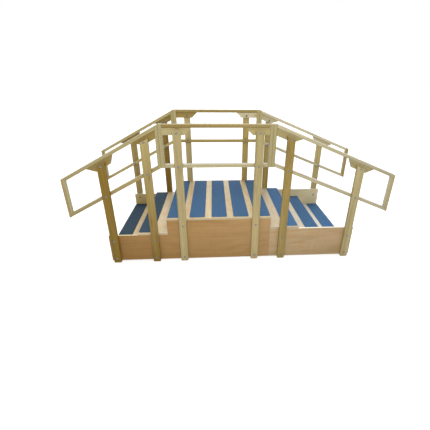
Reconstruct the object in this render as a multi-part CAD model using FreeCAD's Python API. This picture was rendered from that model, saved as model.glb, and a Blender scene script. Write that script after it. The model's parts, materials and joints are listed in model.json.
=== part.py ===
import FreeCAD, Part
import math
import os
from FreeCAD import Vector

# A two-sided timber step and platform unit with handrails on both long sides.
# Millimetres. X runs along the walk, Y across it, Z up from the floor.
# Everything is drawn about the middle of the platform; save() moves it along X so that
# the origin ends up on the floor under the middle of the whole outline.

# --- driving dimensions: platform and flights ---
platform_height = 460.0
platform_length = 1000.0
clear_width = 1000.0            # between the side panels
going = 280.0                   # riser plane to riser plane, both flights
left_rises = 3                  # rises on the left flight, so 2 treads
right_rises = 4                 # rises on the right flight, so 3 treads
board = 18.0                    # plywood thickness of panels, treads and risers
nosing = 5.0                    # overhang of a tread past its riser
seam_round = 1.5
panel_floor_gap = 10.0          # the carcass hangs this far off the floor on its posts
nose_round = 3.0

# --- driving dimensions: non-slip mats ---
mat_thickness = 2.5
mat_length = 1000.0             # across the walk
sunk_mat_length = 984.0         # on the treads that lie between the panels
platform_mat_width = 150.0
platform_mat_count = 5
platform_mat_margin = 2.5
tread_mat_width = 145.0
tread_mat_margin = 4.0
end_mat_margin = 2.0
mat_corner = 18.0
sunk_mat_corner = 5.0

# --- driving dimensions: posts, rails and gussets ---
post_width = 70.0
post_thickness = 30.0
middle_post_x = 348.0
corner_post_x = 620.0
end_post_inset = 58.0           # from the end of the side panel to the post's centre
left_rail_overhang = 372.0      # from the outer post's centre to the rail's free end
right_rail_overhang = 361.0
left_lean = math.radians(28.4)  # the rails run parallel to the flights
right_lean = math.radians(22.1)
front_right_seam = 466.0        # this frame joint is set in from the platform's end
rear_right_seam = 498.0
post_foot_round = 12.0
handrail_height = 875.0         # above the platform
frame_height = 374.0            # outer height of each closed rail frame
rail_depth = 45.0
rail_height = 30.0
rail_round = 6.0
post_round = 4.0
gusset_drop = 60.0              # how far a gusset hangs below its rail
gusset_thickness = 30.0
outer_gusset_half = 132.5       # half of the long edge of a gusset with two bevels
gusset_reach = 120.0            # from the post's centre to the tip, next to a corner
post_top_drop = 58.0            # square to the rail, from its top to the post's top

# --- driving dimensions: fasteners ---
bolt_diameter = 8.0
bolt_hole = 9.0
head_diameter = 19.0
head_height = 5.0
head_rim = 1.2
washer_diameter = 22.0
washer_thickness = 1.6
nut_flats = 13.0
nut_height = 6.5
nut_standoff = 3.0              # thread that shows past the nut
top_bolt_drop = 70.0            # square to the rail, from its top to the gusset bolt
foot_bolt_z = 48.0
outer_panel_bolt_z = 243.0
middle_panel_bolt_z = 392.0
corner_bolt_heights = [1084.0, 1188.0, 1228.0]
corner_bolt_diameter = 6.0
corner_bolt_hole = 6.6
corner_head_diameter = 12.0
corner_head_height = 3.0

# --- driving dimensions: hidden framing ---
joist_width = 45.0
joist_height = 95.0
joist_x = 165.0
cleat = 30.0

# --- worked-out sizes ---
half_clear = clear_width / 2
half_width = half_clear + board
half_platform = platform_length / 2
left_rise = platform_height / left_rises
right_rise = platform_height / right_rises
left_end = -(half_platform + (left_rises - 1) * going)
right_end = half_platform + (right_rises - 1) * going
left_upper_z = platform_height - left_rise
left_lower_z = left_upper_z - left_rise
right_upper_z = platform_height - right_rise
right_middle_z = right_upper_z - right_rise
right_lower_z = right_middle_z - right_rise
rail_top = platform_height + handrail_height
frame_bottom = rail_top - frame_height
left_post_x = left_end + end_post_inset
right_post_x = right_end - end_post_inset
left_rail_end = left_post_x - left_rail_overhang
right_rail_end = right_post_x + right_rail_overhang
outline_middle = (left_rail_end + right_rail_end) / 2
upright = rail_height
mirror_plane = Vector(0, 1, 0)


# --- small helpers ---
def block(x0, x1, y0, y1, z0, z1):
    return Part.makeBox(x1 - x0, y1 - y0, z1 - z0, Vector(x0, y0, z0))


def outline(points, y0, y1):
    """A flat outline of (x, z) points, given thickness from y0 to y1."""
    corners = [Vector(x, y0, z) for x, z in points]
    face = Part.Face(Part.makePolygon(corners + corners[:1]))
    return face.extrude(Vector(0, y1 - y0, 0))


def round_along(shape, direction, radius, wanted=None):
    """Round the straight edges that run along a direction."""
    edges = []
    for edge in shape.Edges:
        start, end = edge.Vertexes[0].Point, edge.Vertexes[-1].Point
        run = (end - start).normalize()
        if abs(run.dot(direction)) > 0.999 and (wanted is None or wanted(edge.CenterOfMass)):
            edges.append(edge)
    return shape.makeFillet(radius, edges)


def across_hole(x, z, diameter=bolt_hole):
    """A cutter along Y, long enough for any piece on the front side."""
    reach = half_width + post_thickness + 1
    return Part.makeCylinder(diameter / 2, reach, Vector(x, -reach, z), Vector(0, 1, 0))


def along_hole(x0, x1, z, diameter):
    y = -half_width + rail_depth / 2
    return Part.makeCylinder(diameter / 2, x1 - x0, Vector(x0, y, z), Vector(1, 0, 0))


def drill(shape, cutters):
    for cutter in cutters:
        shape = shape.cut(cutter)
    return shape


def mirrored(shape):
    return shape.mirror(Vector(0, 0, 0), mirror_plane)


def group(shapes):
    return Part.makeCompound(shapes)


saved = []


def save(name, shape):
    shape = shape.copy()
    shape.translate(Vector(-outline_middle, 0, 0))
    shape.exportStep("parts/" + name + ".step")
    saved.append((name, shape))


def save_both_sides(name, shape):
    """Save a front piece and its mirror image on the rear side."""
    save("front_" + name, shape)
    save("rear_" + name, mirrored(shape))


# --- the handrail line ---
class RailRun:
    """One closed rail frame: its rail line and its two ends, seen from the front."""

    def __init__(self, name, bend, start, end, lean):
        self.name = name
        self.bend = bend                # where the rail line starts to fall
        self.start = start              # the end nearer the platform's middle
        self.end = end
        self.lean = lean
        self.sign = 1 if end > start else -1

    def top(self, x):
        return rail_top - math.tan(self.lean) * max(0, self.sign * (x - self.bend))

    def below(self, x, square_drop):
        """The height of a line that lies square_drop under the rail's top."""
        return self.top(x) - square_drop / math.cos(self.lean)

    def bottom(self, x):
        return self.top(x) - frame_height

    def mid_centre(self, x):
        return self.bottom(x) + rail_height / 2 / math.cos(self.lean)

    def direction(self):
        return Vector(self.sign * math.cos(self.lean), 0, -math.sin(self.lean))


class RailSide:
    """The three rail frames of one long side."""

    def __init__(self, name, right_seam):
        self.name = name
        self.right_seam = right_seam
        self.level = RailRun("level", -half_platform, -half_platform, right_seam, 0.0)
        self.right = RailRun("right", half_platform, right_seam, right_rail_end, right_lean)

    def runs(self):
        return [left_run, self.level, self.right]

    def save(self, name, shape):
        save(self.name + "_" + name, shape if self.name == "front" else mirrored(shape))


left_run = RailRun("left", -half_platform, -half_platform, left_rail_end, left_lean)
front_side = RailSide("front", front_right_seam)
rear_side = RailSide("rear", rear_right_seam)
level_run = front_side.level
right_run = front_side.right

# each post: name, x, its rail run, the height of its upper panel bolt
posts = [
    ("left_end_post", left_post_x, left_run, outer_panel_bolt_z),
    ("left_corner_post", -corner_post_x, left_run, outer_panel_bolt_z),
    ("left_middle_post", -middle_post_x, level_run, middle_panel_bolt_z),
    ("right_middle_post", middle_post_x, level_run, middle_panel_bolt_z),
    ("right_corner_post", corner_post_x, right_run, outer_panel_bolt_z),
    ("right_end_post", right_post_x, right_run, outer_panel_bolt_z),
]


def bolt_heights(x, run, panel_bolt):
    """The four bolts of a post: foot, panel, mid rail and gusset."""
    return [foot_bolt_z, panel_bolt, run.mid_centre(x), run.below(x, top_bolt_drop)]


def post_holes():
    cutters = []
    for _, x, run, panel_bolt in posts:
        for z in bolt_heights(x, run, panel_bolt):
            cutters.append(across_hole(x, z))
    return cutters


def post(x, run, panel_bolt):
    x0, x1 = x - post_width / 2, x + post_width / 2
    top = [(x1, run.below(x1, post_top_drop)), (x0, run.below(x0, post_top_drop))]
    body = outline([(x0, 0), (x1, 0)] + top, -half_width - post_thickness, -half_width)
    body = round_along(body, Vector(0, 1, 0), post_foot_round, lambda c: c.z < 1)
    body = round_along(body, Vector(0, 0, 1), post_round)
    return drill(body, [across_hole(x, z) for z in bolt_heights(x, run, panel_bolt)])


# --- rails, uprights and gussets ---
def strip(run, x0, x1, upper, lower):
    """A member between two lines of the run, with upright ends."""
    points = [(x0, lower(x0)), (x1, lower(x1)), (x1, upper(x1)), (x0, upper(x0))]
    return outline(points, -half_width, -half_width + rail_depth)


def rail_span(run):
    """The rails of a frame fit between its two uprights."""
    return run.start + run.sign * upright, run.end - run.sign * upright


def top_rail(run):
    x0, x1 = rail_span(run)
    body = strip(run, x0, x1, run.top, lambda x: run.below(x, rail_height))
    return round_along(body, run.direction(), rail_round)


def mid_rail(run, cutters):
    x0, x1 = rail_span(run)
    height = rail_height / math.cos(run.lean)
    body = strip(run, x0, x1, lambda x: run.bottom(x) + height, run.bottom)
    return drill(round_along(body, run.direction(), rail_round), cutters)


def frame_upright(run, x0, x1):
    body = strip(run, x0, x1, run.top, run.bottom)
    return round_along(body, Vector(0, 0, 1), post_round)


def gusset(points, run, cutters):
    body = outline(points, -half_width, -half_width + gusset_thickness)
    body = round_along(body, run.direction(), post_round, lambda c: c.z < run.below(c.x, rail_height + 1))
    return drill(body, cutters)


def along(run, x, offset, square_drop):
    """A point offset along the rail from x, and square_drop under the rail's top."""
    base = Vector(x, 0, run.top(x))
    away = run.direction()
    down = Vector(-run.sign * math.sin(run.lean), 0, -math.cos(run.lean))
    point = base + away * offset + down * square_drop
    return point.x, point.z


def outer_gusset(run, x, cutters):
    centre_shift = run.sign * top_bolt_drop * math.sin(run.lean)
    middle = x + centre_shift
    short_half = outer_gusset_half - gusset_drop
    points = [
        along(run, middle, -outer_gusset_half, rail_height),
        along(run, middle, -short_half, rail_height + gusset_drop),
        along(run, middle, short_half, rail_height + gusset_drop),
        along(run, middle, outer_gusset_half, rail_height),
    ]
    return gusset(points, run, cutters)


def corner_gusset(run, x, wall_x, cutters):
    """A gusset whose one end stands square against an upright at wall_x."""
    outward = 1 if x > wall_x else -1
    tip_x = x + outward * gusset_reach * math.cos(run.lean)
    step = -outward * run.sign * gusset_drop
    points = [
        (wall_x, run.below(wall_x, rail_height)),
        (wall_x, run.below(wall_x, rail_height + gusset_drop)),
        along(run, tip_x, step, rail_height + gusset_drop),
        (tip_x, run.below(tip_x, rail_height)),
    ]
    return gusset(points, run, cutters)


def side_gussets(side, cutters):
    return [
        outer_gusset(left_run, left_post_x, cutters),
        corner_gusset(left_run, -corner_post_x, -half_platform - upright, cutters),
        corner_gusset(side.level, -middle_post_x, -half_platform + upright, cutters),
        corner_gusset(side.level, middle_post_x, side.right_seam - upright, cutters),
        corner_gusset(side.right, corner_post_x, side.right_seam + upright, cutters),
        outer_gusset(side.right, right_post_x, cutters),
    ]


def corner_uprights(side):
    pieces = []
    for run in (left_run, side.right):
        corner = run.start
        inner_x = corner - run.sign * upright
        outer_x = corner + run.sign * upright
        inner = frame_upright(side.level, min(inner_x, corner), max(inner_x, corner))
        outer = frame_upright(run, min(outer_x, corner), max(outer_x, corner))
        holes = [along_hole(min(inner_x, outer_x), max(inner_x, outer_x), z, corner_bolt_hole)
                 for z in corner_bolt_heights]
        pieces += [drill(inner, holes), drill(outer, holes)]
    return pieces


# --- carcass ---
def eased_seam(panel):
    """Ease the outer edge of a panel where the two panels of a side meet."""
    return round_along(panel, Vector(0, 0, 1), seam_round,
                       lambda c: abs(c.x - half_platform) < 1 and c.y < -half_clear - 1)


def main_panel(cutters):
    """Full height under the platform, lower along the left flight."""
    low_top = left_upper_z - board
    high_top = platform_height - board
    points = [
        (left_end, panel_floor_gap), (half_platform, panel_floor_gap),
        (half_platform, high_top), (-half_platform, high_top),
        (-half_platform, low_top), (left_end, low_top),
    ]
    return drill(eased_seam(outline(points, -half_width, -half_clear)), cutters)


def right_panel(cutters):
    top = right_upper_z - board
    body = block(half_platform, right_end, -half_width, -half_clear, panel_floor_gap, top)
    return drill(eased_seam(body), cutters)


def walking_board(x0, x1, half, top, noses):
    """A board across the walk; noses lists the x of its rounded front edges."""
    body = block(x0, x1, -half, half, top - board, top)
    across = Vector(0, 1, 0)
    return round_along(body, across, nose_round,
                       lambda c: any(abs(c.x - nose) < 1 for nose in noses))


def riser(outer_face, inward, top):
    x0, x1 = sorted((outer_face, outer_face + inward * board))
    return block(x0, x1, -half_clear, half_clear, panel_floor_gap, top)


def cleat_under(plane, outward, tread_top):
    """A batten on a riser's outer face that carries the tread's inner edge."""
    x0, x1 = sorted((plane, plane + outward * cleat))
    top = tread_top - board
    return block(x0, x1, -half_clear + cleat, half_clear - cleat, top - cleat, top)


def corner_battens():
    """Upright battens that hold the risers to the side panels."""
    pieces = []
    wall = half_clear - cleat
    inside_top = platform_height - board
    for side in (-1, 1):
        y0, y1 = sorted((side * wall, side * half_clear))
        inside = half_platform - board
        pieces.append(block(-inside, -inside + cleat, y0, y1, panel_floor_gap, inside_top))
        pieces.append(block(inside - cleat, inside, y0, y1, panel_floor_gap, inside_top))
        left_top = left_upper_z - board
        right_top = right_upper_z - board
        pieces.append(block(-half_platform - cleat, -half_platform, y0, y1, panel_floor_gap, left_top))
        pieces.append(block(half_platform, half_platform + cleat, y0, y1, panel_floor_gap, right_top))
    return pieces


def platform_joists():
    top = platform_height - board
    return [block(x - joist_width / 2, x + joist_width / 2, -half_clear, half_clear,
                  top - joist_height, top) for x in (-joist_x, joist_x)]


# --- mats ---
def mat(x0, x1, length, top, corner):
    body = block(x0, x1, -length / 2, length / 2, top, top + mat_thickness)
    return round_along(body, Vector(0, 0, 1), corner)


def platform_mats():
    first = -half_platform + platform_mat_margin
    pitch = (platform_length - 2 * platform_mat_margin - platform_mat_width) / (platform_mat_count - 1)
    return [mat(first + i * pitch, first + i * pitch + platform_mat_width, mat_length,
                platform_height, mat_corner) for i in range(platform_mat_count)]


def tread_mat(nose, inward, margin, length, top, corner):
    x0, x1 = sorted((nose + inward * margin, nose + inward * (margin + tread_mat_width)))
    return mat(x0, x1, length, top, corner)


# --- fasteners ---
def dome(diameter, height, rim):
    """A shallow domed bolt head with a short upright rim, standing on z = 0."""
    radius = diameter / 2
    rise = height - rim
    ball_radius = (radius ** 2 + rise ** 2) / (2 * rise)
    ball = Part.makeSphere(ball_radius, Vector(0, 0, height - ball_radius))
    return Part.makeCylinder(radius, height).common(ball)


def hexagon(flats, height, bore):
    radius = flats / 2 / math.cos(math.radians(30))
    corners = [Vector(radius * math.cos(math.radians(60 * i)), radius * math.sin(math.radians(60 * i)), 0)
               for i in range(6)]
    body = Part.Face(Part.makePolygon(corners + corners[:1])).extrude(Vector(0, 0, height))
    return body.cut(Part.makeCylinder(bore / 2, height))


def turned(shape, place, direction):
    """Stand a shape drawn along +Z at a place, pointing in a direction."""
    shape = shape.copy()
    rotation = FreeCAD.Rotation(Vector(0, 0, 1), direction)
    shape.Placement = FreeCAD.Placement(place, rotation)
    return shape


def bolt(diameter, head, head_h, rim, grip):
    """A dome-head bolt: the head above z = 0, the shank below it."""
    shank = Part.makeCylinder(diameter / 2, grip, Vector(0, 0, -grip), Vector(0, 0, 1))
    return dome(head, head_h, rim).fuse(shank).removeSplitter()


def front_fasteners():
    bolts, washers, nuts = [], [], []
    outside = -half_width - post_thickness
    outward, inward = Vector(0, -1, 0), Vector(0, 1, 0)
    for _, x, run, panel_bolt in posts:
        foot, panel, mid, top = bolt_heights(x, run, panel_bolt)
        inner_faces = [(foot, -half_clear), (panel, -half_clear),
                       (mid, -half_width + rail_depth), (top, -half_width + gusset_thickness)]
        for z, inner in inner_faces:
            grip = inner - outside + washer_thickness + nut_height + nut_standoff
            bolts.append(turned(bolt(bolt_diameter, head_diameter, head_height, head_rim, grip),
                                Vector(x, outside, z), outward))
            ring = Part.makeCylinder(washer_diameter / 2, washer_thickness).cut(
                Part.makeCylinder(bolt_hole / 2, washer_thickness))
            washers.append(turned(ring, Vector(x, inner, z), inward))
            nuts.append(turned(hexagon(nut_flats, nut_height, bolt_diameter),
                               Vector(x, inner + washer_thickness, z), inward))
    return bolts, washers, nuts


def corner_bolts(side):
    """Short bolts that clamp the two uprights of each corner together."""
    pieces = []
    y = -half_width + rail_depth / 2
    for run in (left_run, side.right):
        face = run.start - run.sign * upright
        for z in corner_bolt_heights:
            shape = bolt(corner_bolt_diameter, corner_head_diameter, corner_head_height,
                         head_rim, 2 * upright)
            pieces.append(turned(shape, Vector(face, y, z), Vector(-run.sign, 0, 0)))
    return pieces


def both(shapes):
    return group(shapes + [mirrored(shape) for shape in shapes])


# --- build and save every node ---
def build_carcass(cutters):
    save_both_sides("main_panel", main_panel(cutters))
    save_both_sides("right_panel", right_panel(cutters))
    ends = [-half_platform, half_platform]
    save("platform_board", walking_board(ends[0], ends[1], half_width, platform_height, ends))
    left_plane = -half_platform - going
    save("left_upper_tread", walking_board(left_plane - nosing, -half_platform, half_width,
                                           left_upper_z, [left_plane - nosing]))
    save("left_lower_tread", walking_board(left_end, left_plane, half_clear, left_lower_z, [left_end]))
    plane_1 = half_platform + going
    plane_2 = plane_1 + going
    save("right_upper_tread", walking_board(half_platform, plane_1 + nosing, half_width,
                                            right_upper_z, [plane_1 + nosing]))
    save("right_middle_tread", walking_board(plane_1, plane_2 + nosing, half_clear,
                                             right_middle_z, [plane_2 + nosing]))
    save("right_lower_tread", walking_board(plane_2, right_end, half_clear, right_lower_z, [right_end]))
    under_platform = platform_height - board
    save("left_platform_riser", riser(-half_platform, 1, under_platform))
    save("left_middle_riser", riser(left_plane, 1, left_upper_z - board))
    save("left_end_riser", riser(left_end, 1, left_lower_z - board))
    save("right_platform_riser", riser(half_platform, -1, under_platform))
    save("right_upper_riser", riser(plane_1, -1, right_upper_z - board))
    save("right_middle_riser", riser(plane_2, -1, right_middle_z - board))
    save("right_end_riser", riser(right_end, -1, right_lower_z - board))
    save("platform_joists", group(platform_joists()))
    save("corner_battens", group(corner_battens()))
    save("tread_cleats", group([
        cleat_under(-half_platform, -1, left_upper_z), cleat_under(left_plane, -1, left_lower_z),
        cleat_under(half_platform, 1, right_upper_z), cleat_under(plane_1, 1, right_middle_z),
        cleat_under(plane_2, 1, right_lower_z)]))


def build_mats():
    save("platform_mats", group(platform_mats()))
    left_nose = -half_platform - going - nosing
    nose_1 = half_platform + going + nosing
    nose_2 = nose_1 + going
    save("left_tread_mats", group([
        tread_mat(left_nose, 1, tread_mat_margin, mat_length, left_upper_z, mat_corner),
        tread_mat(left_end, 1, end_mat_margin, sunk_mat_length, left_lower_z, sunk_mat_corner)]))
    save("right_tread_mats", group([
        tread_mat(nose_1, -1, tread_mat_margin, mat_length, right_upper_z, mat_corner),
        tread_mat(nose_2, -1, tread_mat_margin, sunk_mat_length, right_middle_z, sunk_mat_corner),
        tread_mat(right_end, -1, end_mat_margin, sunk_mat_length, right_lower_z, sunk_mat_corner)]))


def build_rails(cutters):
    for name, x, run, panel_bolt in posts:
        save_both_sides(name, post(x, run, panel_bolt))
    for side in (front_side, rear_side):
        for run in side.runs():
            side.save(run.name + "_top_rail", top_rail(run))
            side.save(run.name + "_mid_rail", mid_rail(run, cutters))
        for run in (left_run, side.right):
            inner = run.end - run.sign * upright
            piece = frame_upright(run, min(inner, run.end), max(inner, run.end))
            side.save(run.name + "_end_upright", piece)
        side.save("corner_uprights", group(corner_uprights(side)))
        side.save("gussets", group(side_gussets(side, cutters)))


def build_fasteners():
    bolts, washers, nuts = front_fasteners()
    save("post_bolts", both(bolts))
    save("post_washers", both(washers))
    save("post_nuts", both(nuts))
    rear_bolts = [mirrored(shape) for shape in corner_bolts(rear_side)]
    save("corner_bolts", group(corner_bolts(front_side) + rear_bolts))


def main():
    os.makedirs("parts", exist_ok=True)
    cutters = post_holes()
    build_carcass(cutters)
    build_mats()
    build_rails(cutters)
    build_fasteners()
    for name, shape in saved:
        print(name, len(shape.Solids), shape.isValid(), round(shape.Volume / 1000), "cm3")
    print(len(saved), "nodes; origin is", outline_middle, "mm right of the platform's middle")


main()
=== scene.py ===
"""Looks for the two-sided timber steps: lacquered timber, plywood, blue strips and zinc bolts.

Metres, in the CAD frame: +X along the walk to the lower-rise flight, +Y to the back, +Z up.
Every timber, board and strip is a copy of its CAD node with eased edges, its own grain and its
own tone, with painted light and shade in that tone. Every bolt, washer and nut is rebuilt at its
CAD place. The materials are all nodes.
"""
import json
import math
import random

import bmesh
import bpy
from mathutils import Matrix, Vector


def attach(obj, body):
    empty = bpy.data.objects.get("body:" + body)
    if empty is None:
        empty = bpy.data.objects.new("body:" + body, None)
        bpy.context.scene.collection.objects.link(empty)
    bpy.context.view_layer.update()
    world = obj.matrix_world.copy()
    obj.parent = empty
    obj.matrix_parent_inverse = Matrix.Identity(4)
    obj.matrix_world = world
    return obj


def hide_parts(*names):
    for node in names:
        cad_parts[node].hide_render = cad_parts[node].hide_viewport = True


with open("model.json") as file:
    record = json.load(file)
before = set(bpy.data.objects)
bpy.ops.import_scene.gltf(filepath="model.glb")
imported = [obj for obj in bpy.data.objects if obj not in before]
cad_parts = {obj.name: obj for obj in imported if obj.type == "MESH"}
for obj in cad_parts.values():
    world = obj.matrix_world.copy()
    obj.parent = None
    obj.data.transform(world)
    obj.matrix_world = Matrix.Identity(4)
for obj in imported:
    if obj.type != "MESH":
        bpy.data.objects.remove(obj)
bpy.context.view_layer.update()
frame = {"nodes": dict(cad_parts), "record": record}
scene = bpy.context.scene
chance = random.Random(7)

# --- sizes ---
JOIN = 1e-6                     # CAD vertices nearer than this are one
FLAT = math.radians(1.0)        # faces that meet flatter than this are one face
SHARP = math.radians(35.0)      # steeper edges are corners
SQUARE = 0.8                    # a cosine above this counts as pointing along a direction
BOARD_FACE = 0.7                # the same, to tell a board's two faces from its edges
TIMBER_EASE = 0.0016            # how far each kind of piece is sanded round
BOARD_EASE = 0.0010
MAT_EASE = 0.0008
EASE_STEPS = 2
LEVEL_MIDDLE = -0.14            # about where along X the level rails have their middle

RING_PITCH = 0.0034             # growth rings of the softwood
RING_SWAY = 0.012               # how far the rings wander on their way along a timber
PITH_REACH = (0.028, 0.085)     # how far a timber's middle may be from its pith line
PITH_LEAN = 0.014               # and how steeply that line may cross it
CUT_START = (2.0, 60.0)         # where along endless grain a piece may be cut
PLY = 0.0014                    # one veneer of the 18 mm boards
PLY_WANDER = 0.0005             # how far its edge strays from a straight line

HEAD_RADIUS = 0.0095            # domed heads, shanks and threads of the post bolts
HEAD_HEIGHT = 0.005
HEAD_RIM = 0.0012
SHANK_RADIUS = 0.004
THREAD_PITCH = 0.00125
THREAD_DEPTH = 0.0006
THREAD_LENGTH = 0.012
WASHER_RADIUS = 0.011
WASHER_THICKNESS = 0.0016
WASHER_PLAY = 0.0005            # between its hole and the shank
WASHER_ROUND = 0.0002           # its worn edges
NUT_FLATS = 0.013
NUT_HEIGHT = 0.0065
NUT_FACE = 0.96                 # the round face inside a nut's chamfer, as a share of its flats
NUT_SLOPE = 1.6 * math.tan(math.radians(30.0))  # how steeply that chamfer falls
NUT_LEVELS = (0.0, 0.25, 0.5, 1.0)              # the steps that round it off
CORNER_HEAD_RADIUS = 0.006      # the smaller bolts of the rail corners
CORNER_HEAD_HEIGHT = 0.003
CORNER_HEAD_RIM = 0.0006
CORNER_SHANK_RADIUS = 0.003
DOME_STEPS = 9                  # steps from the crown to the rim, then steps round
BOLT_STEPS = 32
CORNER_BOLT_STEPS = 24
NUT_STEPS = 48

X, Y, Z = Vector((1, 0, 0)), Vector((0, 1, 0)), Vector((0, 0, 1))


def srgb(text):
    """A linear colour from a hex code."""
    parts = [int(text[i:i + 2], 16) / 255 for i in (1, 3, 5)]
    return tuple(c / 12.92 if c < 0.04045 else ((c + 0.055) / 1.055) ** 2.4 for c in parts) + (1.0,)


# --- shader graphs ---
class Graph:
    """Adds nodes to one new material. Inputs may be numbers, colours or other nodes' outputs."""

    def __init__(self, name):
        self.material = bpy.data.materials.new(name)
        self.material.use_nodes = True
        self.tree = self.material.node_tree
        self.tree.nodes.clear()

    def add(self, kind, inputs=(), **settings):
        node = self.tree.nodes.new("ShaderNode" + kind)
        for key, value in settings.items():
            setattr(node, key, value)
        for key, value in dict(inputs).items():
            self.feed(node.inputs[key], value)
        return node

    def feed(self, socket, value):
        if isinstance(value, bpy.types.NodeSocket):
            self.tree.links.new(value, socket)
        else:
            socket.default_value = value

    def math(self, operation, *values, clamp=False):
        node = self.add("Math", dict(enumerate(values)), operation=operation, use_clamp=clamp)
        return node.outputs[0]

    def times(self, value, gain):
        return self.math("MULTIPLY", value, gain)

    def swing(self, value, gain):
        """Noise from 0 to 1 made to swing to both sides of zero."""
        return self.times(self.math("SUBTRACT", value, 0.5), gain)

    def vector(self, operation, *values):
        node = self.add("VectorMath", dict(enumerate(values)), operation=operation)
        return node.outputs["Value" if operation == "LENGTH" else "Vector"]

    def attribute(self, name):
        return self.add("Attribute", attribute_name=name).outputs["Vector"]

    def split(self, vector):
        return self.add("SeparateXYZ", {"Vector": vector}).outputs

    def noise(self, vector, stretch, detail=2.0, roughness=0.5, distortion=0.0):
        """Noise from 0 to 1. Stretch gives its waves per metre along each axis."""
        place = self.vector("MULTIPLY", vector, stretch)
        settings = {"Vector": place, "Scale": 1.0, "Detail": detail,
                    "Roughness": roughness, "Distortion": distortion}
        return self.add("TexNoise", settings).outputs[0]

    def cells(self, vector, stretch):
        """The distance to the nearest of many scattered points."""
        place = self.vector("MULTIPLY", vector, stretch)
        return self.add("TexVoronoi", {"Vector": place, "Scale": 1.0}).outputs[0]

    def remap(self, value, low, high, to_low=0.0, to_high=1.0):
        """A smooth step from one value to another while the input goes from low to high."""
        inputs = {"Value": value, "From Min": low, "From Max": high,
                  "To Min": to_low, "To Max": to_high}
        return self.add("MapRange", inputs, interpolation_type="SMOOTHSTEP").outputs[0]

    def ramp(self, value, stops):
        """A grey level that follows (place, level) stops."""
        node = self.add("ValToRGB", {"Fac": value})
        elements = node.color_ramp.elements
        while len(elements) < len(stops):
            elements.new(0.5)
        for element, (place, shade) in zip(elements, stops):
            element.position = place
            element.color = (shade, shade, shade, 1.0)
        return node.outputs[0]

    def mix(self, factor, a, b, blend="MIX"):
        node = self.add("Mix", {0: factor, 6: a, 7: b}, data_type="RGBA", blend_type=blend)
        return node.outputs[2]

    def over(self, colour, mask, weight, shade):
        """A colour with another laid over it where the mask is, at most by the weight."""
        return self.mix(self.times(mask, weight), colour, shade)

    def filtered(self, colour, filter_colour):
        """A colour as seen through a filter."""
        return self.mix(1.0, colour, filter_colour, "MULTIPLY")

    def scaled(self, colour, gain):
        """A colour made brighter or darker."""
        node = self.add("VectorMath", {0: colour, "Scale": gain}, operation="SCALE")
        return node.outputs["Vector"]

    def bump(self, height, strength, distance):
        inputs = {"Height": height, "Strength": strength, "Distance": distance}
        return self.add("Bump", inputs).outputs[0]

    def finish(self, inputs):
        shader = self.add("BsdfPrincipled", inputs)
        output = self.add("OutputMaterial")
        self.tree.links.new(shader.outputs[0], output.inputs["Surface"])
        return self.material


# filters and flat colours of the looks, in linear light
# GOLDEN warms and deepens timber by a piece's warmth: its own tone, and painted shade on shaded
# pieces
GOLDEN = (1.0, 0.75, 0.14, 1.0)
# the filter that greys the blue strips: their own duller tint, and painted shade on the left strips
MAT_TINT_AND_SHADE = (1.0, 0.72, 0.45, 1.0)
TAN = (1.0, 0.78, 0.56, 1.0)
PORE_DARK = (0.35, 0.28, 0.22, 1.0)
WHITE = (1.0, 1.0, 1.0, 1.0)
# the pale grey that pieces are whitened towards: partly pale wood, partly a painted sheen on lit
# tread and rail tops
PALE_WOOD_AND_SHEEN = (0.66, 0.64, 0.60)
PALE_WOOD_AND_SHEEN_FIGURE = (1.25, 0.5)   # how much of the figure a whitened piece keeps, and its base level
BARE_WOOD = (0.62, 0.55, 0.40, 1.0)
WEAR = 0.45                     # how far the eased edges are worn to bare wood


def toned(graph, colour, filter_colour=GOLDEN):
    """Apply a piece's own tone, with painted light and shade in it: x scales its brightness, z is
    wear on eased edges. Above zero y tints the piece by a filter, and below zero it whitens it
    towards a pale grey, partly as pale wood and partly as a painted sheen.
    """
    tone = graph.split(graph.attribute("tone"))
    # warmth below zero whitens the colour: a painted sheen on lit tops, and pale wood on some pieces
    pale_and_sheen = graph.math("MULTIPLY", tone[1], -1.0, clamp=True)
    level = graph.add("RGBToBW", {0: colour}).outputs[0]
    pale_and_sheen_colour = graph.scaled(PALE_WOOD_AND_SHEEN, graph.math("MULTIPLY_ADD", level, *PALE_WOOD_AND_SHEEN_FIGURE))
    colour = graph.mix(pale_and_sheen, colour, pale_and_sheen_colour)
    tinted = graph.mix(tone[1], colour, graph.filtered(colour, filter_colour))
    worn = graph.over(tinted, tone[2], WEAR, BARE_WOOD)
    # x scales brightness: the piece's own tone, with painted light and shade
    return graph.scaled(worn, tone[0])


# a growth ring: pale early wood that darkens into a line of late wood
RING_STOPS = [(0.0, 0.0), (0.55, 0.22), (0.86, 1.0), (0.97, 0.75), (1.0, 0.0)]
KNOT_SWERVE = 0.006             # how far the rings are pushed aside round a knot


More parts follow.
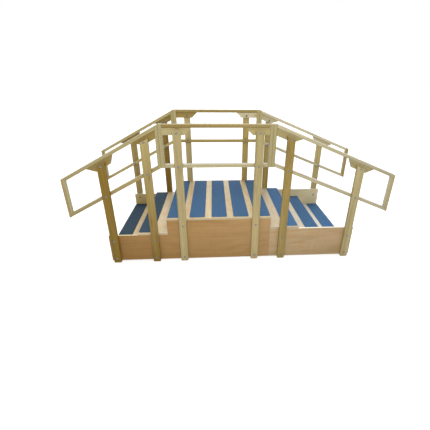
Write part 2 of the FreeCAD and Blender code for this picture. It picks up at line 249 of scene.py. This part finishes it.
def timber_material(name, pale, deep, streak, lacquer, gloss=0.45):
    """Sawn softwood: growth rings about a pith line, fibres, streaks and a few pin knots."""
    g = Graph(name)
    grain = g.attribute("grain")
    shift = g.swing(g.noise(grain, (1.3, 9.0, 9.0)), RING_SWAY)
    across = g.vector("ADD", g.vector("MULTIPLY", grain, (0.0, 1.0, 1.0)),
                      g.add("CombineXYZ", {1: shift, 2: shift}).outputs[0])
    knot = g.cells(grain, (3.4, 13.0, 13.0))
    knot_core = g.remap(knot, 0.050, 0.075, 1.0, 0.0)
    knot_halo = g.remap(knot, 0.04, 0.30, 1.0, 0.0)
    radius = g.math("ADD", g.vector("LENGTH", across), g.times(knot_halo, KNOT_SWERVE))
    ring = g.ramp(g.math("FRACT", g.math("DIVIDE", radius, RING_PITCH)), RING_STOPS)
    fibre = g.noise(grain, (14.0, 900.0, 900.0), detail=3.0, roughness=0.6)
    pore = g.remap(g.noise(grain, (60.0, 1700.0, 1700.0), detail=1.0), 0.60, 0.72)
    band = g.remap(g.noise(grain, (0.8, 42.0, 42.0), roughness=0.55), 0.30, 0.75)
    broad = g.remap(g.noise(grain, (0.9, 6.0, 6.0), detail=1.0), 0.45, 0.75)
    depth = g.math("ADD", g.times(ring, 0.34), g.times(band, streak))
    depth = g.math("ADD", depth, g.swing(fibre, 0.30), clamp=True)
    colour = g.mix(depth, pale, deep)
    colour = g.over(colour, pore, 0.25, deep)
    colour = g.over(colour, broad, 0.25, srgb("#BCA268"))
    colour = g.over(colour, knot_halo, 0.30, deep)
    knot_ring = g.math("PINGPONG", g.times(knot, 70.0), 1.0)
    knot_colour = g.mix(knot_ring, srgb("#6E4A24"), srgb("#8A6434"))
    colour = g.over(colour, knot_core, 0.75, knot_colour)
    relief = g.math("ADD", g.times(ring, 0.35), g.times(fibre, 0.65))
    rough = g.remap(fibre, 0.2, 0.8, 0.36, 0.52) if lacquer else 0.72
    return g.finish({
        "Base Color": toned(g, colour), "Roughness": rough, "Coat Weight": lacquer,
        "Coat Roughness": 0.22, "Specular IOR Level": gloss, "Normal": g.bump(relief, 0.35, 0.0004),
    })


def veneer_material(name, pale, deep, figure, pores, blotch, lacquer=0.45, gloss=0.45):
    """A rotary-cut face veneer: wavy contour figure, short dark pores, streaks and tan blotches."""
    g = Graph(name)
    grain = g.attribute("grain")
    hill = g.noise(grain, (0.55, 3.6, 0.0), roughness=0.45, distortion=0.3)
    contour = g.remap(g.math("SINE", g.times(hill, 62.0)), -0.2, 1.0)
    patch = g.noise(grain, (1.1, 5.0, 0.0))
    streak = g.noise(grain, (1.6, 75.0, 0.0), detail=3.0, roughness=0.6)
    fibre = g.noise(grain, (18.0, 1100.0, 0.0))
    pore = g.remap(g.noise(grain, (110.0, 1500.0, 0.0), detail=1.0), 0.58, 0.68)
    flame = g.noise(grain, (26.0, 9.0, 0.0), roughness=0.4)
    cloud = g.remap(g.noise(grain, (8.0, 20.0, 0.0), detail=3.0, roughness=0.6), 0.46, 0.62)
    depth = g.math("ADD", g.times(contour, figure), g.times(g.remap(streak, 0.3, 0.75), 0.26))
    depth = g.math("ADD", depth, g.swing(fibre, 0.25))
    depth = g.math("ADD", depth, g.swing(flame, 0.22))
    depth = g.math("ADD", depth, g.math("SUBTRACT", patch, 0.45), clamp=True)
    colour = g.mix(depth, pale, deep)
    colour = g.over(colour, cloud, blotch, g.filtered(colour, TAN))
    colour = g.over(colour, pore, pores, g.filtered(deep, PORE_DARK))
    relief = g.math("SUBTRACT", fibre, g.times(pore, 0.6))
    rough = g.remap(streak, 0.2, 0.8, 0.38, 0.52)
    return g.finish({
        "Base Color": toned(g, colour), "Roughness": rough, "Coat Weight": lacquer,
        "Coat Roughness": 0.25, "Specular IOR Level": gloss, "Normal": g.bump(relief, 0.30, 0.0003),
    })


def ply_edge_material(name, pale, deep, fleck, glue_line):
    """The edge of a board: thin layers that show long grain and end grain in turn."""
    g = Graph(name)
    grain = g.attribute("grain")
    wander = g.times(g.noise(grain, (7.0, 7.0, 40.0), detail=1.0), PLY_WANDER)
    layers = g.math("DIVIDE", g.math("ADD", g.split(grain)[2], wander), PLY * 2)
    phase = g.math("PINGPONG", layers, 0.5)
    cross = g.remap(phase, 0.20, 0.30)
    glue = g.remap(g.math("ABSOLUTE", g.math("SUBTRACT", phase, 0.25)), 0.0, 0.05, 1.0, 0.0)
    fibre = g.noise(grain, (30.0, 30.0, 1200.0))
    speck = g.noise(grain, (1300.0, 1300.0, 1300.0))
    soil = g.remap(g.noise(grain, (3.0, 3.0, 20.0)), 0.5, 0.8)
    long_grain = g.mix(fibre, pale, deep)
    end_grain = g.mix(speck, deep, fleck)
    colour = g.mix(cross, long_grain, end_grain)
    colour = g.over(colour, glue, 0.45, glue_line)
    colour = g.over(colour, soil, 0.2, fleck)
    relief = g.math("SUBTRACT", g.times(speck, 0.6), g.times(glue, 0.5))
    return g.finish({
        "Base Color": toned(g, colour), "Roughness": 0.55, "Coat Weight": 0.12,
        "Coat Roughness": 0.3, "Normal": g.bump(relief, 0.35, 0.0003),
    })


def mat_material(name):
    """Pebbled blue covering: fine raised grains, light flecks, trodden patches and a little dust."""
    g = Graph(name)
    place = g.add("TexCoord").outputs["Object"]
    hump = g.remap(g.cells(place, (420.0, 420.0, 420.0)), 0.1, 0.62, 1.0, 0.0)
    fine = g.noise(place, (1500.0, 1500.0, 1500.0), roughness=0.7)
    weave = g.noise(place, (190.0, 190.0, 190.0), detail=3.0, roughness=0.7)
    dust = g.remap(g.noise(place, (5.0, 3.0, 3.0), detail=3.0, roughness=0.6), 0.50, 0.80)
    trodden = g.remap(g.noise(place, (11.0, 2.2, 2.0)), 0.45, 0.80)
    fleck = g.remap(g.noise(place, (620.0, 620.0, 620.0), detail=1.0), 0.60, 0.70)
    colour = g.mix(hump, srgb("#1E3A5A"), srgb("#336296"))
    colour = g.mix(g.remap(weave, 0.35, 0.70), colour, srgb("#3F6E9E"))
    colour = g.over(colour, fleck, 0.30, srgb("#7D9AB2"))
    colour = g.over(colour, trodden, 0.40, srgb("#35566C"))
    colour = g.over(colour, dust, 0.12, srgb("#6E8290"))
    relief = g.math("ADD", hump, g.times(fine, 0.5))
    return g.finish({
        "Base Color": toned(g, colour, MAT_TINT_AND_SHADE),
        "Roughness": g.remap(fine, 0.3, 0.7, 0.62, 0.80), "Specular IOR Level": 0.20,
        "Normal": g.bump(relief, 0.7, 0.0005),
    })


def zinc_material(name):
    """Bright zinc plating: brushed by handling, with a faint blue passivation and dull spots."""
    g = Graph(name)
    place = g.add("TexCoord").outputs["Object"]
    cloud = g.noise(place, (160.0, 160.0, 160.0), detail=3.0)
    grit = g.noise(place, (2600.0, 2600.0, 2600.0))
    colour = g.mix(g.remap(cloud, 0.35, 0.70), srgb("#91989F"), srgb("#737C85"))
    colour = g.over(colour, g.remap(grit, 0.6, 0.8), 0.3, srgb("#76716A"))
    return g.finish({
        "Base Color": colour, "Metallic": 1.0, "Roughness": g.remap(cloud, 0.3, 0.75, 0.22, 0.42),
        "Normal": g.bump(grit, 0.12, 0.0002),
    })


def floor_material():
    """A pale, faintly uneven studio floor that glows a little, to camera rays only."""
    g = Graph("floor_paint")
    place = g.add("TexCoord").outputs["Object"]
    colour = g.mix(g.noise(place, (0.6, 0.6, 0.6)), srgb("#D2D2D0"), srgb("#D8D8D7"))
    seen = g.add("LightPath").outputs["Is Camera Ray"]
    return g.finish({
        "Base Color": colour, "Roughness": 0.9, "Specular IOR Level": 0.1,
        "Emission Color": WHITE, "Emission Strength": g.times(seen, FLOOR_GLOW),
    })


MATERIALS = {
    "post_timber": timber_material(
        "post_timber_look", srgb("#A89A67"), srgb("#766233"), streak=0.45, lacquer=0.10, gloss=0.30),
    "rail_timber": timber_material(
        "rail_timber_look", srgb("#BCB283"), srgb("#867342"), streak=0.40, lacquer=0.40),
    "inner_timber": timber_material(
        "inner_timber_look", srgb("#CDB68A"), srgb("#9C7A4C"), streak=0.35, lacquer=0.0),
    "main_panel_ply": veneer_material(
        "main_panel_look", srgb("#A78656"), srgb("#7E5C2C"), figure=0.13, pores=0.40, blotch=0.15,
        lacquer=0.25, gloss=0.35),
    "right_panel_ply": veneer_material(
        "right_panel_look", srgb("#A99371"), srgb("#856941"), figure=0.20, pores=0.35, blotch=0.35),
    "tread_ply": veneer_material(
        "tread_look", srgb("#C3B48E"), srgb("#A18250"), figure=0.12, pores=0.15, blotch=0.80),
    "riser_ply": veneer_material(
        "riser_look", srgb("#C9B38C"), srgb("#A8854F"), figure=0.15, pores=0.15, blotch=0.30),
    "blue_mat": mat_material("blue_mat_look"),
    "zinc_steel": zinc_material("zinc_steel_look"),
}
# the side panels' edges: ply layers made near white with a cool cast, a painted highlight of their
# lit top edges
PANEL_EDGE_HIGHLIGHTED = ply_edge_material("panel_edge_look", srgb("#E9ECEF"), srgb("#D8D6D0"),
                               fleck=srgb("#C6C0B2"), glue_line=srgb("#9C927E"))
BOARD_EDGE = ply_edge_material("board_edge_look", srgb("#D2CAAE"), srgb("#B9A67E"),
                               fleck=srgb("#9A8056"), glue_line=srgb("#6E5636"))
PANEL_BACKS = {
    "main_panel_ply": veneer_material(
        "main_panel_back", srgb("#C0AB72"), srgb("#9C854C"), figure=0.10, pores=0.25, blotch=0.20),
    "right_panel_ply": veneer_material(
        "right_panel_back", srgb("#D6CFAF"), srgb("#B1A476"), figure=0.10, pores=0.25, blotch=0.20),
}

# --- what sets the pieces apart ---
# which way the grain and the thickness of each kind of board run
BOARD_AXES = {
    "main_panel_ply": (X, Y),
    "right_panel_ply": (X, Y),
    "tread_ply": (Y, Z),
    "riser_ply": (Y, X),
}
SLOT_OF = {row["node"]: row["material_slot"] for row in frame["record"]["subparts"]}

# brightness and warmth of a piece, or of each of its solids from left to right: each piece's own
# wood tone, with painted light and shade laid in (darker left-hand pieces and left strips, lighter
# rear posts, whitened right treads as a painted sheen)
TONES = {
    # the left end post is darker, partly from its own brown wood and partly as painted shade
    "front_left_end_post": (0.56, 1.00),
    "front_right_end_post": (0.99, -0.08),
    "rear_left_end_post": (0.98, 0.27),
    "rear_left_corner_post": (0.63, 0.88),
    # painted light: these four rear posts are made lighter, for light on their shaded front faces
    "rear_left_middle_post": (1.28, -0.05),
    "rear_right_middle_post": (1.14, 0.30),
    "rear_right_corner_post": (1.14, 0.43),
    "rear_right_end_post": (1.28, -0.03),
    "front_left_top_rail": (0.71, 0.14),
    "front_right_top_rail": (0.76, -0.18),
    "front_left_mid_rail": (0.62, 0.38),
    "front_level_mid_rail": (0.71, -0.06),
    "front_right_mid_rail": (0.77, -0.16),
    "rear_left_top_rail": (0.88, 0.22),
    "rear_level_top_rail": (0.59, 0.66),
    "rear_right_top_rail": (1.02, -0.28),
    "rear_left_mid_rail": (1.03, 0.32),
    "rear_level_mid_rail": (0.71, 0.78),
    "rear_right_mid_rail": (1.02, -0.16),
    "front_left_end_upright": (0.75, 0.34),
    "front_right_end_upright": (0.77, 0.20),
    "rear_left_end_upright": (0.73, 0.32),
    "rear_right_end_upright": (0.66, 0.75),
    "front_corner_uprights": (0.60, 0.12),
    "rear_corner_uprights": (0.89, 0.12),
    "front_gussets": [(0.51, 0.74), (0.43, 0.85), (0.72, 0.06),
                      (0.64, 0.22), (0.56, 0.28), (0.65, 0.22)],
    "rear_gussets": [(0.44, 0.88), (0.50, 0.84), (0.65, 0.74),
                     (1.12, -0.22), (0.90, -0.10), (0.92, -0.08)],
    "platform_board": (0.81, 0.03),
    "left_lower_tread": (0.78, 0.03),
    "left_upper_tread": (0.87, -0.06),
    # painted shade: the left strips are made darker and greyer
    "left_tread_mats": [(0.46, 0.80), (0.54, 0.76)],
    "platform_mats": (0.82, 0.25),
    "right_tread_mats": [(1.03, 0.18), (0.88, 0.20), (1.10, 0.20)],
    # painted sheen: the right treads are whitened by their warmth below zero
    "right_upper_tread": (0.71, -0.18),
    "right_middle_tread": (0.75, -0.50),
    "right_lower_tread": (0.75, -0.82),
}
# pieces whose tone runs from one end to the other: posts from foot to top, others left to right.
# The runs are painted shade and light together with the wood's own tone, such as the darker foot
# of the left corner post and the darker left end of the main panel
TONE_AND_SHADE_RUNS = {
    "front_left_corner_post": ((0.55, 0.86), (0.97, -0.03)),
    "front_right_corner_post": ((0.84, 0.34), (0.60, 0.62)),
    "front_left_middle_post": ((1.02, -0.08), (0.85, -0.06)),
    "front_right_middle_post": ((1.03, -0.10), (0.79, -0.02)),
    "front_level_top_rail": ((0.43, 0.82), (0.51, 0.48)),
    "front_main_panel": ((0.73, 0.62), (0.99, -0.03)),
}
PLAIN_BRIGHTNESS = (0.94, 1.04)         # the range of the pieces with no tone of their own
PLAIN_WARMTH = (0.0, 0.2)
PAINTED_INNER_SIDE_LIGHT = Vector((0.20, -0.50, 0.0))     # painted light: the inner side of an end upright made lighter and paler
PAINTED_RAIL_TOP_HIGHLIGHT = Vector((0.05, -0.40, 0.0))      # painted highlight: the top of a rail made lighter and paler


# --- mesh work ---
def islands(bm):
    """The faces of each separate solid, in a steady order."""
    seen, found = set(), []
    bm.faces.ensure_lookup_table()
    for face in bm.faces:
        if face in seen:
            continue
        seen.add(face)
        stack, members = [face], []
        while stack:
            current = stack.pop()
            members.append(current)
            for edge in current.edges:
                for other in edge.link_faces:
                    if other not in seen:
                        seen.add(other)
                        stack.append(other)
        found.append(members)
    return found


def box_of(faces):
    """The low and high corners of the box round some faces."""
    points = [vert.co for face in faces for vert in face.verts]
    low = Vector([min(p[i] for p in points) for i in range(3)])
    high = Vector([max(p[i] for p in points) for i in range(3)])
    return low, high


def split(faces, chosen):
    """The chosen faces, then the others."""
    return [face for face in faces if chosen(face)], [face for face in faces if not chosen(face)]


def halves(faces):
    """Two uprights stand face to face in each corner: part them at the middle of their box."""
    low, high = box_of(faces)
    middle = (low.x + high.x) / 2
    return split(faces, lambda face: (face.calc_center_median() - face.normal * JOIN).x < middle)


def touching_groups(bm, paired):
    """The faces that may be joined: all of them, or each of four uprights that touch in pairs."""
    if not paired:
        return [list(bm.faces)]
    left, right = split(bm.faces, lambda face: face.calc_center_median().x < LEVEL_MIDDLE)
    return halves(left) + halves(right)


def joined(node):
    """A copy of a CAD node's mesh with its split vertices joined and its flat faces made whole."""
    bm = bmesh.new()
    bm.from_mesh(frame["nodes"][node].data)
    for faces in touching_groups(bm, node.endswith("corner_uprights")):
        points = {vert for face in faces for vert in face.verts}
        bmesh.ops.remove_doubles(bm, verts=sorted(points, key=lambda vert: vert.index), dist=JOIN)
    bmesh.ops.dissolve_limit(bm, angle_limit=FLAT, verts=bm.verts, edges=bm.edges)
    return bm


def ease_width(slot):
    """How far each kind of piece is sanded round."""
    if slot.endswith("timber"):
        return TIMBER_EASE
    return MAT_EASE if slot == "blue_mat" else BOARD_EASE


def ease(bm, width):
    """Round the sharp edges over, and return the new faces."""
    edges = [edge for edge in bm.edges
             if edge.is_manifold and edge.calc_face_angle(0.0) > SHARP]
    made = bmesh.ops.bevel(bm, geom=edges, offset=width, segments=EASE_STEPS, profile=0.5,
                           affect="EDGES", clamp_overlap=True)
    return set(made["faces"])


def long_direction(faces):
    """The direction of the longest straight edge, which is the way the timber was sawn."""
    edges = {edge for face in faces for edge in face.edges}
    longest = max(edges, key=lambda edge: (round(edge.calc_length(), 4),
                                           edge.verts[0].co.to_tuple(4)))
    run = (longest.verts[1].co - longest.verts[0].co).normalized()
    return run if run.dot(X + Y + Z) > 0 else -run


def solid_axes(direction):
    """Axes (along, across, through) for a timber that runs along a direction."""
    if abs(direction.y) > SQUARE:
        return Y, X, Z
    return direction, direction.cross(Y).normalized(), Y


def grain_frame(low, high, axes, sawn):
    """How a solid's own coordinates turn, lean and move to become its grain coordinates."""
    middle = (low + high) / 2
    start = Vector((chance.uniform(*CUT_START), 0, 0))
    lean = Matrix.Identity(3)
    if sawn:
        angle, reach = chance.uniform(0, math.tau), chance.uniform(*PITH_REACH)
        start += Vector((0, reach * math.cos(angle), reach * math.sin(angle)))
        lean[1][0] = chance.uniform(-PITH_LEAN, PITH_LEAN)
        lean[2][0] = chance.uniform(-PITH_LEAN, PITH_LEAN)
    else:
        start.y = chance.uniform(*CUT_START)
    return Matrix(axes), lean, middle, start


def add_piece(name, node, bm, materials):
    """Make an object of a mesh, attach it to the root body and hide the CAD node it stands in for.
    """
    mesh = bpy.data.meshes.new(name)
    bm.to_mesh(mesh)
    bm.free()
    mesh.polygons.foreach_set("use_smooth", [True] * len(mesh.polygons))
    mesh.set_sharp_from_angle(angle=SHARP)
    for material in materials:
        mesh.materials.append(material)
    piece = bpy.data.objects.new(name, mesh)
    scene.collection.objects.link(piece)
    normals = piece.modifiers.new("flat_faces", "WEIGHTED_NORMAL")
    normals.keep_sharp = True
    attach(piece, "root")
    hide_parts(node)


def ordered_solids(bm):
    """The solids of a piece from left to right."""
    return sorted(islands(bm), key=lambda faces: round(sum(box_of(faces), Vector()).x, 3))


def tones_of(node, count):
    """For each solid of a piece, brightness and warmth at its low end and at its high end."""
    if node in TONE_AND_SHADE_RUNS:
        return [TONE_AND_SHADE_RUNS[node]] * count
    own = TONES.get(node)
    if own is None:
        own = [(chance.uniform(*PLAIN_BRIGHTNESS), chance.uniform(*PLAIN_WARMTH))
               for _ in range(count)]
    own = own if isinstance(own, list) else [own] * count
    return [(tone, tone) for tone in own]


def tone_at(ends, share, wear):
    """The tone attribute part way between a solid's two ends."""
    first, last = Vector((*ends[0], wear)), Vector((*ends[1], wear))
    return first.lerp(last, share)


def side_tone(node, face, middle):
    """Painted light on a single side of a piece: the lit inner side of an end upright and the
    highlight on a rail's top, added to its tone.
    """
    if node.endswith("end_upright") and face.normal.x * middle.x < -SQUARE * abs(middle.x):
        return PAINTED_INNER_SIDE_LIGHT
    if node.endswith("rail") and face.normal.z > SQUARE:
        # painted highlight on the upward faces of rails
        return PAINTED_RAIL_TOP_HIGHLIGHT
    return Vector()


def looks_of(slot):
    """The materials of a piece: its face, for boards the edge, and for side panels the back."""
    looks = [MATERIALS[slot]]
    if slot in BOARD_AXES:
        looks.append(PANEL_EDGE_HIGHLIGHTED if slot in PANEL_BACKS else BOARD_EDGE)
    if slot in PANEL_BACKS:
        looks.append(PANEL_BACKS[slot])
    return looks


def board_side(face, axes, outward):
    """0 for a board's good face, 1 for its edges, 2 for the inner face of a side panel."""
    if abs(face.normal.dot(axes[1])) < BOARD_FACE:
        return 1
    return 2 if outward and face.normal.dot(outward) < 0 else 0


def number_solids(bm, node, axes, sawn):
    """Number the faces of each solid, and list its grain frame, its two end tones and its box."""
    number = bm.faces.layers.int.new("solid")
    solids = ordered_solids(bm)
    tones = tones_of(node, len(solids))
    listed = []
    for index, faces in enumerate(solids):
        low, high = box_of(faces)
        if axes:
            own_axes = axes[0], axes[0].cross(axes[1]), axes[1]
        else:
            own_axes = solid_axes(long_direction(faces))
        listed.append((grain_frame(low, high, own_axes, sawn), tones[index], low, high))
        for face in faces:
            face[number] = index
    return number, listed


def worked_piece(node, slot):
    """A timber, board or mat: its CAD shape with eased edges, grain coordinates and tone."""
    axes = BOARD_AXES.get(slot)
    sawn = slot.endswith("timber")
    bm = joined(node)
    number, solids = number_solids(bm, node, axes, sawn)
    eased = ease(bm, ease_width(slot))
    outward = across_side(*solids[0][2:]) if slot in PANEL_BACKS else None
    grain = bm.loops.layers.float_vector.new("grain")
    tone = bm.loops.layers.float_vector.new("tone")
    way = 2 if node.endswith("_post") else 0
    for face in bm.faces:
        (turn, lean, middle, start), ends, low, high = solids[face[number]]
        end_grain = sawn and abs((turn @ face.normal).x) > SQUARE
        wear = 1.0 if face in eased or end_grain else 0.0
        if axes:
            face.material_index = board_side(face, axes, outward)
        shade = side_tone(node, face, middle)
        for loop in face.loops:
            loop[grain] = lean @ (turn @ (loop.vert.co - middle)) + start
            share = (loop.vert.co[way] - low[way]) / (high[way] - low[way])
            loop[tone] = tone_at(ends, share, wear) + shade
    add_piece(node + "_finished", node, bm, looks_of(slot))


# --- bolts, washers and nuts ---
def stand(place, direction):
    """A matrix that stands a shape drawn along +Z at a place."""
    return Matrix.Translation(place) @ direction.to_track_quat("Z", "X").to_matrix().to_4x4()


def lathe(bm, profile, matrix, steps=BOLT_STEPS):
    """Spin (radius, height) points about a matrix's Z axis. Ends of radius 0 close to a point."""
    rows = []
    for radius, height in profile:
        if radius == 0:
            rows.append([bm.verts.new(matrix @ Vector((0, 0, height)))])
            continue
        ring = []
        for i in range(steps):
            turn = math.tau * i / steps
            point = Vector((radius * math.cos(turn), radius * math.sin(turn), height))
            ring.append(bm.verts.new(matrix @ point))
        rows.append(ring)
    bridge(bm, rows)


def bridge(bm, rows):
    """Join each row of points to the next."""
    for upper, lower in zip(rows, rows[1:]):
        count = max(len(upper), len(lower))
        for i in range(count):
            j = (i + 1) % count
            if len(upper) == 1:
                bm.faces.new((upper[0], lower[j], lower[i]))
            elif len(lower) == 1:
                bm.faces.new((upper[i], upper[j], lower[0]))
            else:
                bm.faces.new((upper[i], upper[j], lower[j], lower[i]))


def dome_profile(radius, height, rim):
    """From the crown of a domed head down to its underside."""
    rise = height - rim
    ball = (radius ** 2 + rise ** 2) / (2 * rise)
    sweep = math.asin(radius / ball) / DOME_STEPS
    points = [(ball * math.sin(sweep * i), height - ball + ball * math.cos(sweep * i))
              for i in range(DOME_STEPS)]
    soft = rim / 4
    return points + [(radius, rim), (radius, soft), (radius - soft, 0.0)]


def thread_profile(radius, end):
    """A shank from the head to its end: plain, then threaded, then chamfered."""
    depth = end - THREAD_LENGTH
    points = [(radius, 0.0), (radius, -depth)]
    while depth + THREAD_PITCH < end - THREAD_DEPTH:
        points.append((radius - THREAD_DEPTH, -(depth + THREAD_PITCH / 2)))
        depth += THREAD_PITCH
        points.append((radius, -depth))
    return points + [(radius - THREAD_DEPTH, -end), (0.0, -end)]


def hexagon_reach(turn):
    """How far a nut's side is from its middle at an angle."""
    part = (turn + math.pi / 6) % (math.pi / 3) - math.pi / 6
    return NUT_FLATS / 2 / math.cos(part)


def nut_rings():
    """Rings of (radius, angle, height) up the outside of a hexagon nut and down its bore."""
    flat = NUT_FLATS / 2
    corner = hexagon_reach(math.pi / 6)
    face = flat * NUT_FACE
    chamfer = [(face + level * (corner - face), level * (corner - flat) * NUT_SLOPE)
               for level in NUT_LEVELS]
    levels = chamfer + [(limit, NUT_HEIGHT - z) for limit, z in reversed(chamfer)]
    angles = [math.tau * i / NUT_STEPS for i in range(NUT_STEPS)]
    outside = [[(min(hexagon_reach(a), limit), a, z) for a in angles] for limit, z in levels]
    bore = [[(SHANK_RADIUS, a, z) for a in angles] for z in (NUT_HEIGHT, 0.0)]
    return outside + bore


def nut(bm, matrix):
    """A hexagon nut that stands on the XY plane of a matrix."""
    rows = []
    for ring in nut_rings():
        rows.append([bm.verts.new(matrix @ Vector((r * math.cos(a), r * math.sin(a), z)))
                     for r, a, z in ring])
    bridge(bm, rows + rows[:1])


def washer(bm, matrix):
    """A flat washer with worn edges, closed into a ring."""
    inner, outer = SHANK_RADIUS + WASHER_PLAY, WASHER_RADIUS
    thick, soft = WASHER_THICKNESS, WASHER_ROUND
    profile = [(inner, thick - soft), (inner + soft, thick), (outer - soft, thick),
               (outer, thick - soft), (outer, soft), (outer - soft, 0.0), (inner + soft, 0.0),
               (inner, soft)]
    lathe(bm, profile + profile[:1], matrix)
    bmesh.ops.remove_doubles(bm, verts=bm.verts, dist=JOIN)


def across_side(low, high):
    """Which way along Y a fastener or a side panel faces: away from the walk."""
    return -Y if (low.y + high.y) < 0 else Y


def bolt_piece(bm, low, high):
    outward = across_side(low, high)
    place = (low + high) / 2
    tip = high.y if outward.y > 0 else low.y
    place.y = tip - outward.y * HEAD_HEIGHT
    length = high.y - low.y - HEAD_HEIGHT
    head = dome_profile(HEAD_RADIUS, HEAD_HEIGHT, HEAD_RIM)
    lathe(bm, head + thread_profile(SHANK_RADIUS, length), stand(place, outward))


def washer_piece(bm, low, high):
    outward = across_side(low, high)
    place = (low + high) / 2
    place.y = high.y if outward.y > 0 else low.y
    washer(bm, stand(place, -outward))


def nut_piece(bm, low, high):
    outward = across_side(low, high)
    place = (low + high) / 2
    place.y = high.y if outward.y > 0 else low.y
    turned = Matrix.Rotation(chance.uniform(0, math.tau), 4, "Z")
    nut(bm, stand(place, -outward) @ turned)


def corner_bolt_piece(bm, low, high):
    """These lie along X, with the head towards the level frame in the middle."""
    place = (low + high) / 2
    outward = X if place.x < LEVEL_MIDDLE else -X
    tip = high.x if outward.x > 0 else low.x
    place.x = tip - outward.x * CORNER_HEAD_HEIGHT
    length = high.x - low.x - CORNER_HEAD_HEIGHT
    head = dome_profile(CORNER_HEAD_RADIUS, CORNER_HEAD_HEIGHT, CORNER_HEAD_RIM)
    profile = head + thread_profile(CORNER_SHANK_RADIUS, length)
    lathe(bm, profile, stand(place, outward), CORNER_BOLT_STEPS)


FASTENERS = {
    "post_bolts": bolt_piece,
    "post_washers": washer_piece,
    "post_nuts": nut_piece,
    "corner_bolts": corner_bolt_piece,
}


def fastener_piece(node):
    """Every fastener of a CAD node, rebuilt with its dome, thread or chamfers at the same place."""
    source = bmesh.new()
    source.from_mesh(frame["nodes"][node].data)
    bmesh.ops.remove_doubles(source, verts=source.verts, dist=JOIN)
    boxes = [box_of(faces) for faces in islands(source)]
    source.free()
    bm = bmesh.new()
    for low, high in boxes:
        FASTENERS[node](bm, low, high)
    bmesh.ops.recalc_face_normals(bm, faces=bm.faces)
    add_piece(node + "_finished", node, bm, [MATERIALS["zinc_steel"]])


# --- floor, light and camera ---
FLOOR_HALF = 30.0
FLOOR_CELLS = 24
FLOOR_GLOW = 0.5
WORLD_LIGHT = 0.53
LAMP_WHITE = (1.0, 0.99, 0.97)


def add_floor():
    """A floor that reaches well past every view."""
    bm = bmesh.new()
    bmesh.ops.create_grid(bm, x_segments=FLOOR_CELLS, y_segments=FLOOR_CELLS, size=FLOOR_HALF)
    mesh = bpy.data.meshes.new("floor")
    bm.to_mesh(mesh)
    bm.free()
    mesh.materials.append(floor_material())
    floor = bpy.data.objects.new("floor", mesh)
    scene.collection.objects.link(floor)


def background(tree, strength):
    """A white sky of some strength."""
    node = tree.nodes.new("ShaderNodeBackground")
    node.inputs["Color"].default_value = WHITE
    node.inputs["Strength"].default_value = strength
    return node.outputs[0]


def add_world():
    """White to the camera and in reflections, and a softer white as the light."""
    world = bpy.data.worlds.new("studio")
    world.use_nodes = True
    tree = world.node_tree
    tree.nodes.clear()
    path = tree.nodes.new("ShaderNodeLightPath")
    seen = tree.nodes.new("ShaderNodeMath")
    seen.operation = "MAXIMUM"
    blend = tree.nodes.new("ShaderNodeMixShader")
    output = tree.nodes.new("ShaderNodeOutputWorld")
    tree.links.new(path.outputs["Is Camera Ray"], seen.inputs[0])
    tree.links.new(path.outputs["Is Glossy Ray"], seen.inputs[1])
    tree.links.new(seen.outputs[0], blend.inputs[0])
    tree.links.new(background(tree, WORLD_LIGHT), blend.inputs[1])
    tree.links.new(background(tree, 1.0), blend.inputs[2])
    tree.links.new(blend.outputs[0], output.inputs["Surface"])
    scene.world = world


def place_lamp(lamp, place, away):
    """Stand a lamp at a place, with its back to a direction."""
    lamp.color = LAMP_WHITE
    holder = bpy.data.objects.new(lamp.name, lamp)
    holder.location = place
    holder.rotation_mode = "QUATERNION"
    holder.rotation_quaternion = Vector(away).to_track_quat("Z", "Y")
    scene.collection.objects.link(holder)
    return holder


def add_area(name, place, target, size, power):
    """A round soft box that isn't seen in reflections."""
    lamp = bpy.data.lights.new(name, "AREA")
    lamp.shape = "DISK"
    lamp.size = size
    lamp.energy = power
    holder = place_lamp(lamp, place, Vector(place) - Vector(target))
    holder.visible_glossy = False


def add_sky(direction, strength, spread):
    """One very wide soft light, the same all over the floor."""
    lamp = bpy.data.lights.new("sky", "SUN")
    lamp.energy = strength
    lamp.angle = math.radians(spread)
    place_lamp(lamp, (0.0, 0.0, 0.0), direction)


def add_lights():
    add_world()
    add_sky((0.10, 0.40, 1.0), strength=2.5, spread=60.0)
    add_area("front", (0.3, -5.0, 2.8), (0.1, 0.0, 0.6), size=2.6, power=25.0)
    add_area("near", (-0.1, -2.5, 2.3), (0.0, 0.1, 0.7), size=1.4, power=48.0)


CAMERA_PLACE = (-0.1812, -2.8929, 1.7217)
CAMERA_YAW, CAMERA_PITCH, CAMERA_ROLL = 0.0692, -0.4204, 0.0124
CAMERA_LENS = 23.54
CAMERA_SENSOR = 36.0
CAMERA_SHIFT = (-0.0394, -0.0375)


def add_camera():
    """A camera that looks along +Y, turned right by its yaw, up by its pitch, then rolled."""
    sin_yaw, cos_yaw = math.sin(CAMERA_YAW), math.cos(CAMERA_YAW)
    forward = Vector((sin_yaw * math.cos(CAMERA_PITCH), cos_yaw * math.cos(CAMERA_PITCH),
                      math.sin(CAMERA_PITCH)))
    level = Vector((cos_yaw, -sin_yaw, 0.0))
    rise = level.cross(forward)
    right = level * math.cos(CAMERA_ROLL) + rise * math.sin(CAMERA_ROLL)
    up = rise * math.cos(CAMERA_ROLL) - level * math.sin(CAMERA_ROLL)
    data = bpy.data.cameras.new("camera")
    data.lens = CAMERA_LENS
    data.sensor_width = CAMERA_SENSOR
    data.shift_x, data.shift_y = CAMERA_SHIFT
    camera = bpy.data.objects.new("camera", data)
    turn = Matrix((right, up, -forward)).transposed().to_4x4()
    camera.matrix_world = Matrix.Translation(CAMERA_PLACE) @ turn
    scene.collection.objects.link(camera)
    scene.camera = camera


# --- build ---
for node_name in sorted(frame["nodes"]):
    if node_name in FASTENERS:
        fastener_piece(node_name)
    else:
        worked_piece(node_name, SLOT_OF[node_name])
add_floor()
add_lights()
add_camera()
scene.view_settings.view_transform = "Standard"
